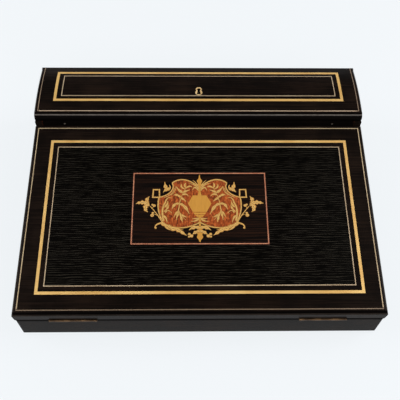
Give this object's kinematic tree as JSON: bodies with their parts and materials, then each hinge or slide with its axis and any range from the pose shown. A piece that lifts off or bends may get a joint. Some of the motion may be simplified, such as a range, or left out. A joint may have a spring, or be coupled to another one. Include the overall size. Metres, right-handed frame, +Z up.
{
  "type": "writing box with drawer",
  "caption": "Low sloping box for letters: a hinged writing slope, a lidded ink and pen compartment with a lock, and a drawer in one end.",
  "frame": {"origin": "on the underside, at the middle of the case's width and depth", "axes": "+X to the right along the box's length, +Y to the back, +Z up"},
  "size_m": [0.3721, 0.2938, 0.0921],
  "materials": {
    "ebonised_case": "ebonised and french polished",
    "ebonised_lid": "ebonised and french polished",
    "ebonised_field": "open grained, ebonised",
    "tablet_ebony": "polished",
    "burl": "stained burr, polished",
    "light_inlay": "polished boxwood colour",
    "red_line": "polished tulipwood colour",
    "fine_line": "thin rubbed brass",
    "brass_band": "polished",
    "hinge_brass": "aged",
    "lock_brass": "satin",
    "bolt_steel": "filed",
    "inner_wood": "polished mahogany",
    "drawer_wood": "waxed",
    "velvet": "short pile",
    "felt": "felt",
    "lining_paper": "marbled paper",
    "glass": "cut and polished"
  },
  "bodies": {
    "case": {"case_front": "ebonised_case", "case_back": "ebonised_case", "case_side_left": "ebonised_case", "case_side_right": "ebonised_case", "case_bottom": "inner_wood", "base_felt": "felt", "ink_partition": "ebonised_case", "partition_pins": "hinge_brass", "well_lining": "lining_paper", "ink_floor": "inner_wood", "cell_wall_left": "inner_wood", "cell_wall_right": "inner_wood", "pen_tray": "inner_wood", "inkwell_left_glass": "glass", "inkwell_right_glass": "glass", "inkwell_left_cap": "lock_brass", "inkwell_right_cap": "lock_brass", "drawer_stop": "inner_wood", "lock_strike": "lock_brass", "strike_screws": "lock_brass", "front_hinge_case_leaves": "hinge_brass", "front_hinge_pins": "hinge_brass", "front_hinge_case_screws": "hinge_brass", "back_hinge_case_leaves": "hinge_brass", "back_hinge_pins": "hinge_brass", "back_hinge_case_screws": "hinge_brass"},
    "slope_lid": {"slope_lid_board": "ebonised_lid", "slope_field": "ebonised_field", "slope_edge_line": "fine_line", "slope_band": "brass_band", "slope_inner_line": "fine_line", "tablet_frame_line": "red_line", "tablet_ground": "tablet_ebony", "cartouche_burl": "burl", "cartouche_ornament": "light_inlay", "slope_lining": "velvet", "front_hinge_lid_leaves": "hinge_brass", "front_hinge_lid_screws": "hinge_brass"},
    "back_lid": {"back_lid_board": "ebonised_lid", "back_edge_line": "fine_line", "back_band": "brass_band", "back_inner_line": "fine_line", "escutcheon": "brass_band", "back_lining": "lining_paper", "lock_case": "lock_brass", "lock_screws": "lock_brass", "back_hinge_lid_leaves": "hinge_brass", "back_hinge_lid_screws": "hinge_brass"},
    "lock_bolt": {"lock_bolt": "bolt_steel"},
    "drawer": {"drawer_front": "ebonised_case", "drawer_side_front": "drawer_wood", "drawer_side_rear": "drawer_wood", "drawer_back": "drawer_wood", "drawer_bottom": "drawer_wood", "drawer_lining": "lining_paper", "drawer_knob": "lock_brass"}
  },
  "joints": [
    {"name": "slope_lid_hinge", "type": "hinge", "parent": "case", "child": "slope_lid", "pos_m": [0, -0.14545, 0.03578], "axis": [1, 0, 0], "range_deg": [0, 177]},
    {"name": "back_lid_hinge", "type": "hinge", "parent": "case", "child": "back_lid", "pos_m": [0, 0.14545, 0.08175], "axis": [-1, 0, 0], "range_deg": [0, 105]},
    {"name": "drawer_slide", "type": "slide", "parent": "case", "child": "drawer", "axis": [1, 0, 0], "range_m": [0, 0.21]},
    {"name": "lock_bolt_slide", "type": "slide", "parent": "back_lid", "child": "lock_bolt", "axis": [0, -1, 0], "range_m": [0, 0.0065]}
  ]
}
